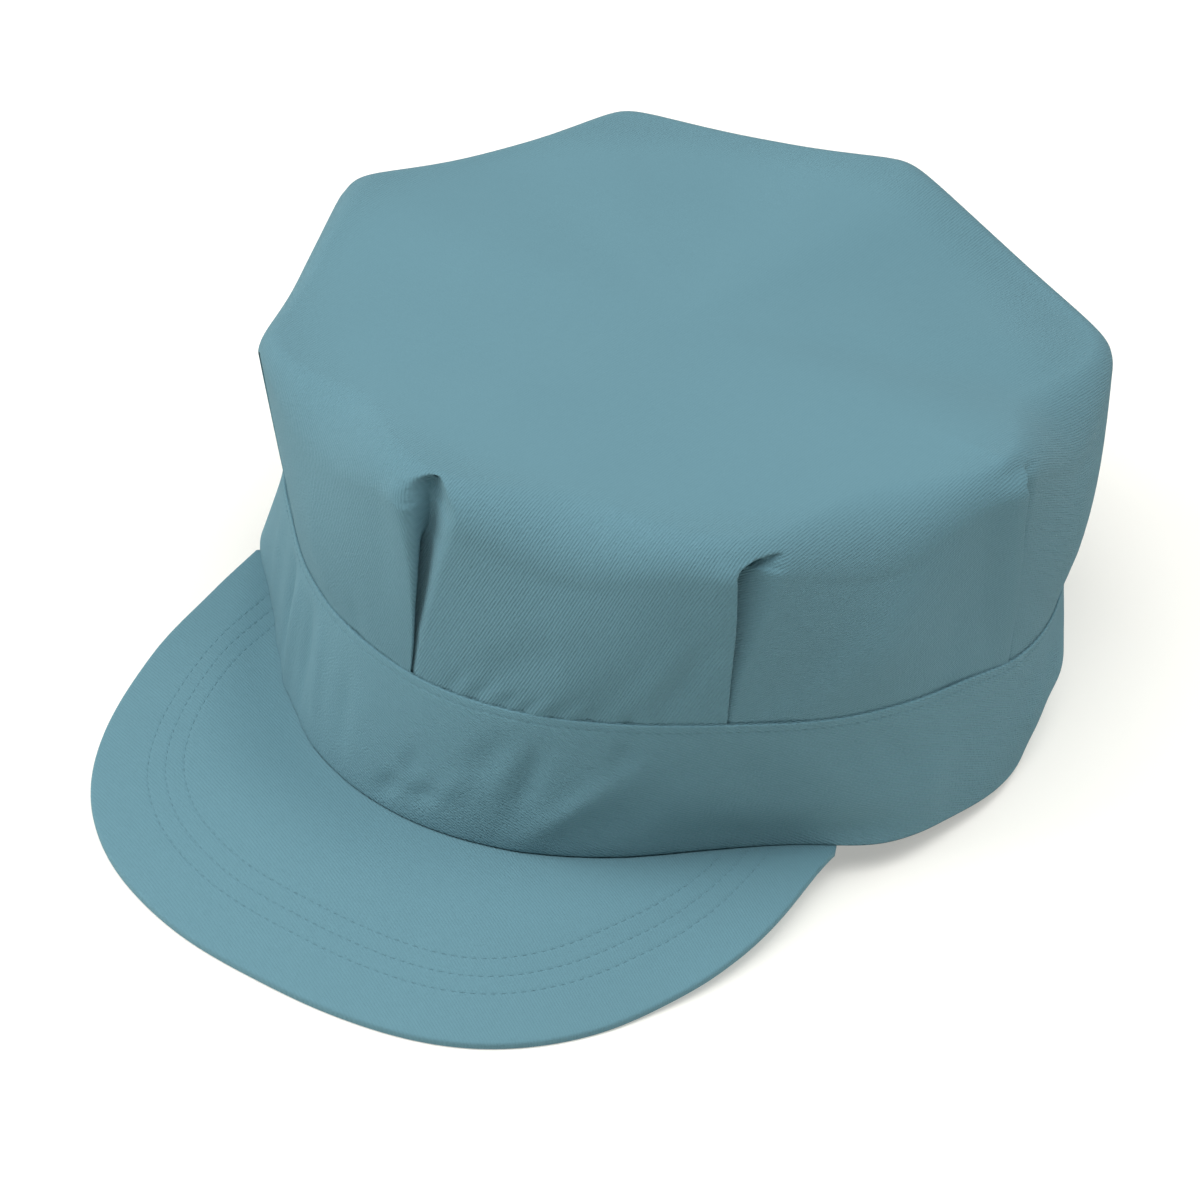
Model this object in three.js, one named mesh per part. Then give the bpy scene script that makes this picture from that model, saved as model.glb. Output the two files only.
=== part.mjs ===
import * as THREE from 'three';

// Eight panel cloth cap, in millimetres, +Z up, resting on z = 0.
// The peak points along -Y. Angles run from the centre front towards +X.

// Driving dimensions of the head opening and the band
const rimHalfWidth = 90.5;
const rimHalfDepth = 95.5;
const rimSquash = -2.5;
const rimLobe = 5;
const rimRise = 14;
const rimFlatFrom = 125;
const seamHalfWidth = 87.5;
const seamHalfDepth = 95.5;
const seamSlide = 5;
const seamFrontLift = 1.5;
const seamSideLift = 0.5;
const bandHeight = 37.5;
const bandWall = 2;
const seatGap = 0.3;

// Driving dimensions of the crown
const crownWall = 1.2;
const hemDepth = 7;
const cornerHalfWidth = 93.5;
const cornerHalfDepth = 101;
const cornerShift = 3;
const cornerHeight = 92;
const topSlope = -0.12;
const topSideSlope = 0.03;
const edgeInset = 2.6;
const edgeHollow = 2.3;
const cornerSoftness = 0.1;
const edgeSag = 0.6;
const rollAtCorner = 7.5;
const rollAtEdge = 15.5;
const topDome = 3;
const panelBulge = 2.2;
const leanCurve = 1.1;
const foldWall = 0.8;
const panelCount = 8;

// Each corner of the octagon: how far it stands out and up from the even shape, how far
// the wall below it bellies out, and by how many degrees its pleat's foot has slid round
const corners = [
  { angle: 0, out: -1, lift: 2, belly: 0, foot: -3.5 },
  { angle: 45, out: 0, lift: 0.5, belly: 0, foot: 0 },
  { angle: 90, out: -1, lift: 1.5, belly: 0.5, foot: 4.5 },
  { angle: 135, out: 5, lift: -7, belly: 4, foot: 3 },
  { angle: 180, out: 1, lift: 1, belly: 1.5, foot: 0 },
  { angle: 225, out: 1, lift: 0.5, belly: 1, foot: 0 },
  { angle: 270, out: 0, lift: 0, belly: 0.5, foot: 0 },
  { angle: 315, out: -2, lift: -1.5, belly: 0, foot: 0 },
];

// Where the lower rim bends out or in, beside the ends of the peak and at one side
const rimBends = [
  { angle: -71, out: 5.5, across: 10 },
  { angle: -48, out: -2, across: 11 },
  { angle: 70, out: 3, across: 9 },
  { angle: 115, out: -4.5, across: 26 },
];

// Driving dimensions of the peak
const peakHalfWidth = 82.8;
const peakReach = 106.2;
const peakSlide = 1;
const peakRootY = -42;
const peakSquareness = 2.7;
const peakAngle = 65;
const peakThickness = 2.4;
const peakTuck = 1.8;
const peakFlatTurn = 40;
const peakCamber = 1.6;
const peakCornerPull = 0.035;

// Knife pleats: depth and spread of the recess beside each fold edge, by height on the wall
const pleatProfile = [
  { height: 0.0, recess: 0.5, spread: 2.5, crest: 0.3 },
  { height: 0.2, recess: 1.6, spread: 3.0, crest: 0.7 },
  { height: 0.6, recess: 3.2, spread: 4.0, crest: 1.1 },
  { height: 0.85, recess: 4.6, spread: 5.5, crest: 0.9 },
  { height: 1.0, recess: 0.4, spread: 6.0, crest: 0.0 },
];
const crestSpread = 5;
const recessOnset = 0.35;

// Soft wrinkles of the band: place, size across and up, depth (out is positive) and lean
const bandFolds = [
  { angle: 35, height: 0.34, depth: -2.2, across: 11, up: 0.17, lean: -3 },
  { angle: 12, height: 0.55, depth: 1.3, across: 4, up: 0.3, lean: 9 },
  { angle: -12, height: 0.3, depth: -0.9, across: 3, up: 0.2, lean: 2 },
  { angle: -42, height: 0.5, depth: 1.2, across: 3, up: 0.4, lean: 3 },
  { angle: -52, height: 0.5, depth: -1.3, across: 3, up: 0.4, lean: 3 },
  { angle: 70, height: 0.25, depth: 1.4, across: 9, up: 0.25, lean: 0 },
  { angle: 118, height: 0.45, depth: 3.6, across: 16, up: 0.3, lean: 0 },
  { angle: -125, height: 0.4, depth: -1.1, across: 8, up: 0.25, lean: -4 },
];

// Sampling of the meshes
const panelSteps = [0, 0.5, 1.3, 3, 7, 14, 22.5, 31, 38, 42.5];
const wallRows = [-1, 0, 0.08, 0.25, 0.45, 0.65, 0.82, 0.93, 1];
const rollRows = [22, 45, 68, 90];
const topRows = [0.72, 0.36];
const bandColumns = 84;
const bandOuterRows = [0, 0.2, 0.4, 0.6, 0.78, 1];
const bandInnerRows = [1, 0.78, 0.5, 0.2, 0];
const peakColumns = 40;
const peakRows = [0, 0.12, 0.4, 0.7, 0.9, 1];

const radians = THREE.MathUtils.degToRad;
const mix = THREE.MathUtils.lerp;
const smooth = THREE.MathUtils.smoothstep;

function sine(angle) {
  return Math.sin(radians(angle));
}

function cosine(angle) {
  return Math.cos(radians(angle));
}

// The same angle between -180 and 180 degrees
function signedTurn(angle) {
  return angle - 360 * Math.round(angle / 360);
}

// The lower rim lies flat at the back and rises to the front over the peak
function rimHeight(angle) {
  return rimRise * smooth(cosine(angle), cosine(rimFlatFrom), 1);
}

// The rim is drawn in at the ends of the peak and stands out between them
function rimPoint(angle) {
  let out = rimSquash * cosine(2 * angle) + rimLobe * cosine(3 * angle);
  for (const bend of rimBends) {
    const away = (signedTurn(angle) - bend.angle) / bend.across;
    out += bend.out * Math.exp(-away * away);
  }
  const x = (rimHalfWidth + out) * sine(angle);
  const y = -(rimHalfDepth + out) * cosine(angle);
  return new THREE.Vector3(x, y, rimHeight(angle));
}

// The seam of band and crown has slid a little to one side, as soft cloth does
function seamPoint(angle) {
  const height = rimHeight(angle) + bandHeight + seamFrontLift * cosine(angle) + seamSideLift * sine(angle);
  return new THREE.Vector3(seamHalfWidth * sine(angle) + seamSlide, -seamHalfDepth * cosine(angle), height);
}

// The level direction that points out of the cap
function outward(angle) {
  return new THREE.Vector3(rimHalfDepth * sine(angle), -rimHalfWidth * cosine(angle), 0).normalize();
}

function foldDepth(angle, up) {
  let depth = 0;
  for (const fold of bandFolds) {
    const across = (signedTurn(angle) - fold.angle - fold.lean * (up - fold.height)) / fold.across;
    const along = (up - fold.height) / fold.up;
    depth += fold.depth * Math.exp(-(across * across) - along * along);
  }
  return depth * (1 - smooth(up, 0.55, 0.78));
}

// The band's outer face, where up runs from 0 at the rim to 1 at the seam
function bandPoint(angle, up, inset) {
  const point = rimPoint(angle).lerp(seamPoint(angle), up);
  return point.addScaledVector(outward(angle), foldDepth(angle, up) - inset);
}

function readProfile(table, height, column) {
  const last = table.length - 1;
  if (height <= table[0].height) return table[0][column];
  for (let i = 0; i < last; i += 1) {
    const low = table[i];
    const high = table[i + 1];
    if (height <= high.height) {
      const share = (height - low.height) / (high.height - low.height);
      return mix(low[column], high[column], share);
    }
  }
  return table[last][column];
}

// Signed angle from the nearest pleat, which lies at every whole panel
function fromPleat(angle) {
  const panel = 360 / panelCount;
  return angle - panel * Math.round(angle / panel);
}

// The panel before each pleat laps over the next one: a crest, then a sharp recess
function pleatOffset(angle, height) {
  const away = fromPleat(angle);
  const crest = readProfile(pleatProfile, height, 'crest');
  if (away <= 0) return crest * Math.exp(away / crestSpread);
  const spread = readProfile(pleatProfile, height, 'spread');
  const recess = readProfile(pleatProfile, height, 'recess');
  const onset = Math.exp(-away / recessOnset);
  return crest * onset - recess * Math.exp(-away / spread) * (1 - onset);
}

// 0 at a corner of the octagon and 1 at the middle of an edge
function edgeShare(angle) {
  const share = Math.abs(fromPleat(angle)) / (180 / panelCount);
  const soft = Math.hypot(share, cornerSoftness) - cornerSoftness;
  return soft / (Math.hypot(1, cornerSoftness) - cornerSoftness);
}

// A value of the corner table, eased from each corner to the next
function cornerValue(angle, column) {
  const turn = (((angle % 360) + 360) % 360) / (360 / panelCount);
  const first = Math.floor(turn);
  const low = corners[first % panelCount];
  const high = corners[(first + 1) % panelCount];
  return mix(low[column], high[column], smooth(turn - first, 0, 1));
}

// The octagon's outer edge, where the roll of cloth would meet in a sharp line
function edgePoint(angle) {
  const out = cornerValue(angle, 'out') - edgeInset * (1 - (1 - edgeShare(angle)) ** edgeHollow);
  const point = new THREE.Vector3(cornerHalfWidth * sine(angle), -cornerHalfDepth * cosine(angle) + cornerShift, 0);
  point.addScaledVector(outward(angle), out);
  point.z = cornerHeight + topSlope * point.y + topSideSlope * point.x;
  point.z += cornerValue(angle, 'lift') - edgeSag * smooth(edgeShare(angle), 0, 1);
  return point;
}

function rollRadius(angle) {
  return mix(rollAtCorner, rollAtEdge, smooth(edgeShare(angle), 0, 1));
}

// A point of the upright wall: -1 at the hem, 0 at the seam, 1 where the roll starts
function crownWallPoint(angle, at, thickness) {
  const hidden = bandWall + seatGap + thickness;
  if (at <= 0) return bandPoint(angle + cornerValue(angle, 'foot'), 1 + (at * hemDepth) / bandHeight, hidden);
  const foot = bandPoint(angle + cornerValue(angle, 'foot') * (1 - at), 1, hidden);
  const top = edgePoint(angle).addScaledVector(outward(angle), -thickness);
  const lean = at ** leanCurve;
  const height = mix(foot.z, top.z - rollRadius(angle), at);
  const point = foot.lerp(top, lean);
  const near = pleatOffset(angle, at);
  const folded = Math.min(near, pleatOffset(angle - foldWall, at), pleatOffset(angle + foldWall, at));
  const bulge = (panelBulge * edgeShare(angle) + cornerValue(angle, 'belly')) * Math.sin(Math.PI * at);
  point.addScaledVector(outward(angle), bulge + (thickness > 0 ? folded : near));
  point.z = height;
  return point;
}

// A point of the soft roll between the wall and the flat top, by its turn in degrees
function crownRollPoint(angle, turn, thickness) {
  const roll = rollRadius(angle);
  const radius = roll - thickness;
  const point = edgePoint(angle).addScaledVector(outward(angle), radius * cosine(turn) - roll);
  point.z += radius * sine(turn) - roll;
  return point;
}

// A point of the flat top, from 1 at the end of the roll to 0 at the centre
function crownTopPoint(angle, at, thickness) {
  const rim = crownRollPoint(angle, 90, thickness);
  const centre = new THREE.Vector3(0, cornerShift, cornerHeight + topSlope * cornerShift + topDome - thickness);
  const point = centre.clone().lerp(rim, at);
  const tilt = topSlope * (point.y - cornerShift) + topSideSlope * point.x;
  const rimTilt = topSlope * (rim.y - cornerShift) + topSideSlope * rim.x;
  point.z = mix(centre.z, rim.z - rimTilt, at * at) + tilt;
  return point;
}

function crownRows(thickness) {
  const rows = [];
  for (const at of wallRows) rows.push((angle) => crownWallPoint(angle, at, thickness));
  for (const turn of rollRows) rows.push((angle) => crownRollPoint(angle, turn, thickness));
  for (const at of topRows) rows.push((angle) => crownTopPoint(angle, at, thickness));
  return rows;
}

function crownAngles() {
  const angles = [];
  for (let panel = 0; panel < panelCount; panel += 1) {
    for (const step of panelSteps) angles.push((panel * 360) / panelCount + step);
  }
  return angles;
}

// Collects points and faces of one closed body
class Body {
  constructor() {
    this.points = [];
    this.faces = [];
  }

  addPoint(point) {
    this.points.push(point.x, point.y, point.z);
    return this.points.length / 3 - 1;
  }

  addRow(points) {
    return points.map((point) => this.addPoint(point));
  }

  // Joins two rows of equal length, closing the last column to the first when asked
  joinRows(low, high, closed) {
    const count = closed ? low.length : low.length - 1;
    for (let i = 0; i < count; i += 1) {
      const next = (i + 1) % low.length;
      this.faces.push(low[i], low[next], high[next]);
      this.faces.push(low[i], high[next], high[i]);
    }
  }

  // Closes a ring of points to one pole
  joinPole(ring, pole) {
    for (let i = 0; i < ring.length; i += 1) {
      this.faces.push(ring[i], ring[(i + 1) % ring.length], pole);
    }
  }

  mesh(name, material) {
    const geometry = new THREE.BufferGeometry();
    geometry.setAttribute('position', new THREE.Float32BufferAttribute(this.points, 3));
    geometry.setIndex(this.faces);
    geometry.computeVertexNormals();
    const mesh = new THREE.Mesh(geometry, material);
    mesh.name = name;
    return mesh;
  }
}

const cloth = new THREE.MeshStandardMaterial({ color: 0x6c9aac, roughness: 0.9, metalness: 0 });

// One shell of cloth: outer face up to the top, inner face back down to the hem
function makeCrown() {
  const body = new Body();
  const angles = crownAngles();
  const outer = crownRows(0).map((row) => body.addRow(angles.map(row)));
  const inner = crownRows(crownWall).map((row) => body.addRow(angles.map(row)));
  const outerPole = body.addPoint(crownTopPoint(0, 0, 0));
  const innerPole = body.addPoint(crownTopPoint(0, 0, crownWall));
  for (let i = 0; i + 1 < outer.length; i += 1) {
    body.joinRows(outer[i], outer[i + 1], true);
    body.joinRows(inner[i + 1], inner[i], true);
  }
  body.joinPole(outer[outer.length - 1], outerPole);
  body.joinPole([...inner[inner.length - 1]].reverse(), innerPole);
  body.joinRows(inner[0], outer[0], true);
  return body.mesh('crown', cloth);
}

// A ring of doubled cloth round the lower edge of the crown
function makeBand() {
  const body = new Body();
  const angles = Array.from({ length: bandColumns }, (_, i) => (i * 360) / bandColumns - 180);
  const outer = bandOuterRows.map((up) => body.addRow(angles.map((angle) => bandPoint(angle, up, 0))));
  const inner = bandInnerRows.map((up) => body.addRow(angles.map((angle) => bandPoint(angle, up, bandWall))));
  const loop = [...outer, ...inner];
  loop.forEach((row, i) => body.joinRows(row, loop[(i + 1) % loop.length], true));
  return body.mesh('band', cloth);
}

// The outline of the peak in plan, as a squarish half oval about its root line
function peakOutline(turn) {
  const across = Math.abs(sine(turn) / peakHalfWidth) ** peakSquareness;
  const forward = Math.abs(cosine(turn) / peakReach) ** peakSquareness;
  const radius = (across + forward) ** (-1 / peakSquareness);
  const pull = 1 - peakCornerPull * smooth(Math.abs(turn), 65, 90);
  return new THREE.Vector2(radius * sine(turn) * pull + peakSlide, peakRootY - radius * cosine(turn));
}

function peakSeat(angle) {
  return rimHeight(angle) - seatGap;
}

// The free edge rests on the surface in front and rises to the rim at both ends
function peakEdgeHeight(turn) {
  const share = smooth(Math.abs(turn), peakFlatTurn, 90);
  return mix(peakThickness, peakSeat(peakAngle), share);
}

// A point of the peak, along from -1 to 1 and across from 0 under the rim to 1 at the free edge
function peakPoint(along, across, drop) {
  const angle = peakAngle * along;
  const root = rimPoint(angle).addScaledVector(outward(angle), -peakTuck);
  const tip = peakOutline(90 * along);
  const edge = new THREE.Vector3(tip.x, tip.y, peakEdgeHeight(90 * along));
  const point = root.setZ(peakSeat(angle)).lerp(edge, across);
  const free = smooth(across, 0.04, 0.5) * (1 - across) * 4;
  point.z += peakCamber * free * cosine(90 * along) - drop;
  return point;
}

// A thin stiff plate: top face, bottom face and the wall round its edge
function makePeak() {
  const body = new Body();
  const columns = Array.from({ length: peakColumns + 1 }, (_, i) => (2 * i) / peakColumns - 1);
  const rows = (drop) => peakRows.map((across) => columns.map((along) => peakPoint(along, across, drop)));
  const top = rows(0).map((row) => body.addRow(row));
  const bottom = rows(peakThickness).map((row) => body.addRow(row));
  for (let i = 0; i + 1 < top.length; i += 1) {
    body.joinRows(top[i + 1], top[i], false);
    body.joinRows(bottom[i], bottom[i + 1], false);
  }
  const edge = (side) => [
    ...side[0],
    ...side.slice(1).map((row) => row[peakColumns]),
    ...[...side[side.length - 1]].reverse().slice(1),
    ...side.slice(1, -1).reverse().map((row) => row[0]),
  ];
  body.joinRows(edge(top), edge(bottom), true);
  return body.mesh('peak', cloth);
}

const cap = new THREE.Group();
cap.add(makeCrown(), makeBand(), makePeak());

// The whole outline is centred over the origin
const middle = new THREE.Box3().setFromObject(cap).getCenter(new THREE.Vector3());
cap.position.set(-middle.x, -middle.y, 0);

export default cap;
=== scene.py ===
import math
import bpy
import numpy as np
from mathutils import Matrix, Vector


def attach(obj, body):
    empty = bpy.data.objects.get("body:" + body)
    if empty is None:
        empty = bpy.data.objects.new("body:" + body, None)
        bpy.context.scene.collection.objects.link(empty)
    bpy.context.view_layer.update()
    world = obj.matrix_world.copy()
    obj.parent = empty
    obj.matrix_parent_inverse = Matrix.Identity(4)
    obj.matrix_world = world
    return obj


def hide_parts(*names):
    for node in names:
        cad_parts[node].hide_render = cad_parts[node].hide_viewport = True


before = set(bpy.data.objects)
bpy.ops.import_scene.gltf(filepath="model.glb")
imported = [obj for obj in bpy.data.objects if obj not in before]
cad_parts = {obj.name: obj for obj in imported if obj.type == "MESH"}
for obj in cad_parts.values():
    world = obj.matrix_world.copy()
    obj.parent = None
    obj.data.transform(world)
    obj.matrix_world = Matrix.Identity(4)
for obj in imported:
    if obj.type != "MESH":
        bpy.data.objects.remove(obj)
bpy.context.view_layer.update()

# Lengths are millimetres and angles are degrees, from the centre front towards +X.
# Shapes are worked out round the middle of the head opening, and toMetres moves them into the frame.
headShift = (0.380077, 21.6, 0.0)
clothRadius = 92                          # lengths round the cap are measured at this distance


# Curves that every piece shares
def sinOf(angle):
    return np.sin(np.radians(angle))


def cosOf(angle):
    return np.cos(np.radians(angle))


def turned(angle):                        # the same angle, from -180 to 180
    return (np.asarray(angle, float) + 180) % 360 - 180


def eased(value, low, high):              # 0 up to low, 1 from high on, smooth in between
    share = np.clip((np.asarray(value, float) - low) / (high - low), 0, 1)
    return share * share * (3 - 2 * share)


def between(first, second, share):
    return first + (second - first) * share


def lerped(first, second, share):         # between, for points
    return first + (second - first) * np.asarray(share)[..., None]


def pointAt(x, y, z):
    return np.stack(np.broadcast_arrays(x, y, z), -1).astype(float)


def tableOf(names, rows):                 # rows of numbers as one array for each named column
    return {name: np.array(column, float) for name, column in zip(names.split(), zip(*rows))}


def curveThrough(angle, table, column):   # a smooth closed curve through one column of a table
    places, values = table["angle"], table[column]
    places = np.concatenate([places[-2:] - 360, places, places[:3] + 360])
    values = np.concatenate([values[-2:], values, values[:3]])
    slopes = np.gradient(values, places)
    angle = turned(angle)
    row = np.clip(np.searchsorted(places, angle, side="right") - 1, 0, len(places) - 2)
    span = places[row + 1] - places[row]
    t = (angle - places[row]) / span      # 0 to 1 from this row to the next
    return ((1 + 2 * t) * (1 - t) ** 2 * values[row] + t * (1 - t) ** 2 * span * slopes[row]
            + t * t * (3 - 2 * t) * values[row + 1] + t * t * (t - 1) * span * slopes[row + 1])


def bumps(angle, rows):
    angle = turned(angle)
    return sum(size * np.exp(-((angle - middle) / across) ** 2) for middle, size, across in rows)


# How far folds and puckers stand out, where up is a share of the height tall
def foldRelief(angle, up, rows, tall):
    total = np.zeros(np.broadcast(angle, up).shape)
    for middle, level, depth, length, width, slant in rows:
        across = np.radians(turned(angle - middle)) * clothRadius
        above = (up - level) * tall
        along = across * cosOf(slant) + above * sinOf(slant)
        aside = -across * sinOf(slant) + above * cosOf(slant)
        total = total + depth * np.exp(-(along / length) ** 2 - (aside / width) ** 2)
    return total


# Meshes
def toMetres(points):
    return (np.asarray(points, float) + np.array(headShift)) * 0.001


def makePiece(name, points, faces, material, cloth=None):
    mesh = bpy.data.meshes.new(name)
    mesh.from_pydata(toMetres(points).tolist(), [], [tuple(face) for face in faces])
    if cloth is not None:
        layer = mesh.uv_layers.new(name="flatCloth")
        layer.data.foreach_set("uv", (np.asarray(cloth, float) * 0.001).ravel())
    mesh.polygons.foreach_set("use_smooth", [True] * len(mesh.polygons))
    mesh.materials.append(material)
    mesh.update()
    piece = bpy.data.objects.new(name, mesh)
    bpy.context.scene.collection.objects.link(piece)
    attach(piece, "root")
    return piece


def gridQuads(rows, columns, closeRows=False, closeColumns=False):
    i, j = np.meshgrid(np.arange(rows if closeRows else rows - 1),
                       np.arange(columns if closeColumns else columns - 1), indexing="ij")
    nextI, nextJ = (i + 1) % rows, (j + 1) % columns
    quads = np.stack([i * columns + j, i * columns + nextJ, nextI * columns + nextJ, nextI * columns + j], -1)
    return quads.reshape(-1, 4)


# Cloth places of a grid's quads, from the places at each column and at the next one
def quadPlaces(here, beside):
    return np.stack([here[:-1], beside[:-1], beside[1:], here[1:]], 2).reshape(-1, 2)


stitchLook = {
    "pitch": 2.2, "length": 1.7, "width": 0.19, "sides": 6, "flatness": 0.8,
    "sink": 0.9,                          # share of the groove's depth where the thread lies
    "places": (-0.5, -0.36, 0, 0.36, 0.5), "fatness": (0.35, 0.85, 1, 0.85, 0.35),
    "rise": (-0.22, 0, 0.06, 0, -0.22),
}


# The rings of one stitch, whose middle lies at this length along the line
def stitchRings(middle, along, line, normal):
    places = middle + stitchLook["length"] * np.array(stitchLook["places"])
    spine = np.stack([np.interp(places, along, line[:, axis]) for axis in range(3)], -1)
    up = np.array([np.interp(places[2], along, normal[:, axis]) for axis in range(3)])
    ahead = spine[-1] - spine[0]
    ahead = ahead / np.linalg.norm(ahead)
    up = up - ahead * (up @ ahead)
    up = up / np.linalg.norm(up)
    side = np.cross(ahead, up)
    radii = np.array(stitchLook["fatness"]) * stitchLook["width"] / 2
    turns = np.radians(np.arange(stitchLook["sides"]) * 360 / stitchLook["sides"])
    return [spot + side * radius * math.cos(turn)
            + up * (radius * stitchLook["flatness"] * math.sin(turn) + rise)
            for spot, radius, rise in zip(spine, radii, stitchLook["rise"]) for turn in turns]


def makeStitches(name, runs, material):
    sides, rings = stitchLook["sides"], len(stitchLook["places"])
    tube = gridQuads(rings, sides, closeColumns=True).tolist()
    caps = [list(range(sides))[::-1], list(range((rings - 1) * sides, rings * sides))]
    points, faces = [], []
    for line, normal in runs:
        along = np.concatenate([[0], np.cumsum(np.linalg.norm(np.diff(line, axis=0), axis=1))])
        for stitch in range(int(along[-1] / stitchLook["pitch"])):
            base = len(points)
            points += stitchRings((stitch + 0.5) * stitchLook["pitch"], along, line, normal)
            faces += [[base + corner for corner in face] for face in tube + caps]
    return makePiece(name, points, faces, material)


# Shader maths
class Wire:                               # one socket, as a value in an expression
    def __init__(self, finish, socket):
        self.finish = finish
        self.socket = socket

    def maths(self, operation, first, second):
        return self.finish.node("ShaderNodeMath", {"operation": operation}, {0: first, 1: second})

    def __add__(self, other):
        return self.maths("ADD", self, other)

    def __radd__(self, other):
        return self.maths("ADD", other, self)

    def __mul__(self, other):
        return self.maths("MULTIPLY", self, other)

    def __rmul__(self, other):
        return self.maths("MULTIPLY", other, self)

    def __truediv__(self, other):
        return self.maths("DIVIDE", self, other)

    def __rtruediv__(self, other):
        return self.maths("DIVIDE", other, self)


class Finish:                             # one material and the nodes that make it
    def __init__(self, name):
        self.material = bpy.data.materials.new(name)
        self.material.use_nodes = True
        self.tree = self.material.node_tree
        self.tree.nodes.clear()

    def node(self, kind, settings=None, inputs=None, outlet=0):
        made = self.tree.nodes.new(kind)
        for key, value in (settings or {}).items():
            setattr(made, key, value)
        for key, value in (inputs or {}).items():
            if isinstance(value, Wire):
                self.tree.links.new(value.socket, made.inputs[key])
            else:
                made.inputs[key].default_value = value
        return Wire(self, made.outputs[outlet]) if len(made.outputs) else made

    def wave(self, value):                # a sine from 0 to 1, one wave for each whole number
        sine = self.node("ShaderNodeMath", {"operation": "SINE"}, {0: value * (2 * math.pi)})
        return sine * 0.5 + 0.5

    def dot(self, vector, direction):
        settings = {"operation": "DOT_PRODUCT"}
        return self.node("ShaderNodeVectorMath", settings, {0: vector, 1: direction}, "Value")

    def flatNoise(self, vector, scale, detail):
        inputs = {"Vector": vector, "Scale": scale, "Detail": detail}
        return self.node("ShaderNodeTexNoise", {"noise_dimensions": "2D"}, inputs, "Fac")

    def mixed(self, factor, first, second):           # sockets 6 and 7 and outlet 2 are the colours
        inputs = {"Factor": factor, 6: first, 7: second}
        return self.node("ShaderNodeMix", {"data_type": "RGBA"}, inputs, 2)

    def closed(self, shader):
        self.node("ShaderNodeOutputMaterial", inputs={"Surface": shader})
        return self.material


twillCloth = {
    # the furrow colour is painted shade in the twill's low lines; the worn colour is the cloth's real wear
    "colour": (0.1105, 0.2286, 0.2734), "furrowShade": (0.0955, 0.202, 0.243), "worn": (0.117, 0.238, 0.283),
    "pitch": 0.00062, "thread": 0.00034,  # metres from line to line, and from thread to thread
    "depth": 0.00016, "strength": 1.0,
    # scale and detail of the uneven yarn, the worn patches and the fibres
    "slub": (420, 2), "patch": (26, 3), "grain": (1500, 1),
    "waviness": 0.25, "threadShift": 0.5,
    "ridgeHeight": 0.42, "threadHeight": 0.4, "grainHeight": 1.2,
    # shares of painted shade from the ridges and threads, of the yarn's own uneven slub tone, and of the wear
    "ridgeLight": 0.55, "threadLight": 0.15, "slubLight": 0.3, "wear": 0.5,
    "roughness": 0.95, "sheen": 0.1, "sheenRoughness": 0.6, "sheenTint": (0.6, 0.88, 0.95), "shine": 0.2,
    # metres from the middle of the top where the flatter, pressed cloth ends, and its height
    "pressed": (0.072, 0.09), "pressedHeight": 0.15,
}


# A colour of the cloth scaled by a piece's tone: painted light, lighter or darker to stand in for the light
# that piece gets
def tinted(key, paintedLightTone):
    return tuple(paintedLightTone * part for part in twillCloth[key]) + (1,)


# Twill whose lines lean by an angle from the cloth's own x, its colours scaled by a tone that is painted
# light
def twillFinish(name, lean, contrast, paintedLightTone, pressedTop=False):
    look = twillCloth
    finish = Finish(name)
    place = finish.node("ShaderNodeUVMap", {"uv_map": "flatCloth"})
    sine, cosine = math.sin(math.radians(lean)), math.cos(math.radians(lean))
    slub = finish.flatNoise(place, *look["slub"])
    patch = finish.flatNoise(place, *look["patch"])
    grain = finish.flatNoise(place, *look["grain"])
    line = finish.dot(place, (-sine, cosine, 0)) / look["pitch"] + slub * look["waviness"]
    ridge = finish.wave(line)
    beat = finish.wave(finish.dot(place, (cosine, sine, 0)) / look["thread"] + line * look["threadShift"])
    height = ridge * look["ridgeHeight"] + ridge * beat * look["threadHeight"] + grain * look["grainHeight"]
    if pressedTop:
        away = finish.node("ShaderNodeVectorMath", {"operation": "LENGTH"}, {0: place}, "Value")
        pressedFrom, pressedTo = look["pressed"]
        height = height * finish.node("ShaderNodeMapRange", {"interpolation_type": "SMOOTHSTEP"}, {
            "Value": away, "From Min": pressedFrom, "From Max": pressedTo,
            "To Min": look["pressedHeight"], "To Max": 1.0})
    # Painted shade: the colour goes towards the furrow colour where ridge and thread are low, the yarn's slub
    # adds its own uneven tone
    light = ridge * look["ridgeLight"] + beat * look["threadLight"] + slub * look["slubLight"]
    lit = finish.mixed(light, tinted("furrowShade", paintedLightTone), tinted("colour", paintedLightTone))
    shade = finish.mixed(patch * look["wear"], lit, tinted("worn", paintedLightTone))
    bump = finish.node("ShaderNodeBump", None, {
        "Strength": look["strength"] * contrast, "Distance": look["depth"], "Height": height})
    return finish.closed(finish.node("ShaderNodeBsdfPrincipled", None, {
        "Base Color": shade, "Roughness": look["roughness"], "Sheen Weight": look["sheen"],
        "Sheen Roughness": look["sheenRoughness"], "Sheen Tint": look["sheenTint"] + (1,),
        "Specular IOR Level": look["shine"], "Normal": bump}))


sewingThread = {
    # dark and light are painted shade and light along the twist: the thread is darker in the grooves of its
    # ply
    "dark": (0.094, 0.198, 0.238, 1), "light": (0.110, 0.228, 0.274, 1), "twist": (9000, 9000, 12000),
    "roughness": 0.75, "shine": 0.3, "strength": 0.4, "depth": 0.00005,
}


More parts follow.
